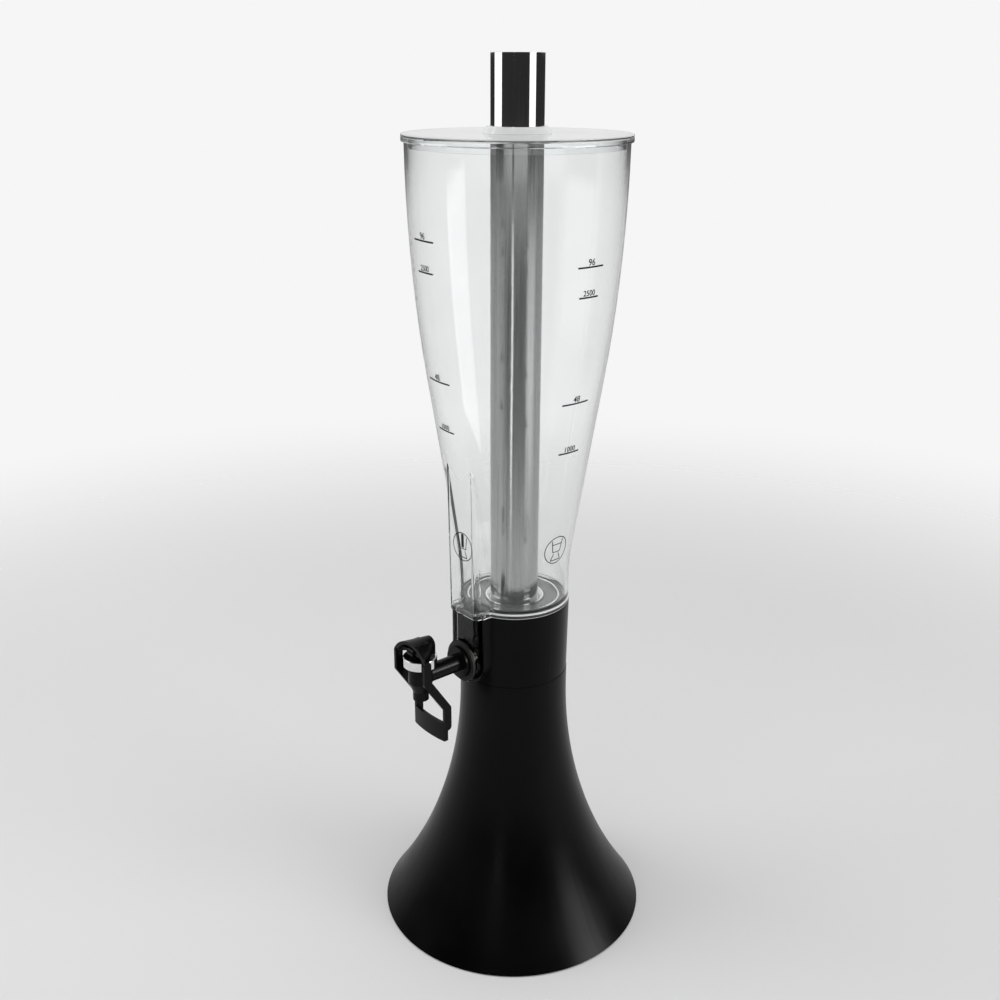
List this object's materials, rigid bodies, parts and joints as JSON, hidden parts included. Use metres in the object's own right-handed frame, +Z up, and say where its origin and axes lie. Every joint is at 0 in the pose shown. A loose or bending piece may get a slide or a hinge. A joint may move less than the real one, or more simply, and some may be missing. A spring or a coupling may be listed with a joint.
{
  "type": "beer tower",
  "caption": "Table beer tower: flared black base, clear tapered container with a tap chamber, steel ice tube, clear lid and push-back tap.",
  "frame": {"origin": "centre of the base on the table", "axes": "+Z up along the tower's axis, the tap points along -Y"},
  "size_m": [0.22, 0.22, 0.695],
  "materials": {
    "black_satin": "satin",
    "black_plain": "matte",
    "iron": "rough",
    "zinc": "bright",
    "rubber": "matte",
    "clear": "polished clear",
    "clear_lid": "polished clear",
    "steel_tube": "polished",
    "black_tap": "semi-gloss",
    "black_lever": "semi-gloss",
    "silicone": "translucent white",
    "chrome": "polished",
    "steel_pin": "satin"
  },
  "bodies": {
    "base": {"base_trumpet": "black_satin", "base_collar": "black_satin", "bottom_plate": "black_plain", "ballast_ring": "iron", "bottom_plate_screws": "zinc", "ballast_screws": "zinc", "collar_screws": "zinc", "rubber_feet": "rubber"},
    "container": {"container": "clear", "tap_body": "black_tap", "tap_outer_washer": "rubber", "tap_inner_washer": "silicone", "tap_lock_nut": "black_tap", "tap_bonnet": "black_tap", "bonnet_nut": "chrome", "bonnet_gasket": "silicone", "lever_pivot_pin": "black_tap", "valve_spring": "steel_pin"},
    "ice_tube": {"ice_tube": "steel_tube", "ice_tube_bottom": "steel_tube"},
    "lid": {"lid": "clear_lid"},
    "lever": {"tap_lever": "black_lever"},
    "valve_stem": {"valve_stem": "steel_pin", "valve_cup": "silicone", "stem_pin": "steel_pin"}
  },
  "joints": [
    {"name": "container_lift", "type": "slide", "parent": "base", "child": "container", "axis": [0, 0, 1], "range_m": [0, 0.09]},
    {"name": "ice_tube_lift", "type": "slide", "parent": "container", "child": "ice_tube", "axis": [0, 0, 1], "range_m": [0, 0.4]},
    {"name": "lid_lift", "type": "slide", "parent": "container", "child": "lid", "axis": [0, 0, 1], "range_m": [0, 0.07]},
    {"name": "lever_swing", "type": "hinge", "parent": "container", "child": "lever", "pos_m": [0, -0.1007, 0.268], "axis": [1, 0, 0], "range_deg": [0, 22], "stiffness_Nm_per_rad": 0.35, "springref_deg": -13.18},
    {"name": "valve_lift", "type": "slide", "parent": "container", "child": "valve_stem", "axis": [0, 0, 1], "range_m": [0, 0.0026], "deforming": ["valve_spring"]}
  ],
  "couplings": [
    {"joint": "valve_lift", "follows": "lever_swing", "m_per_rad": 0.0065}
  ]
}
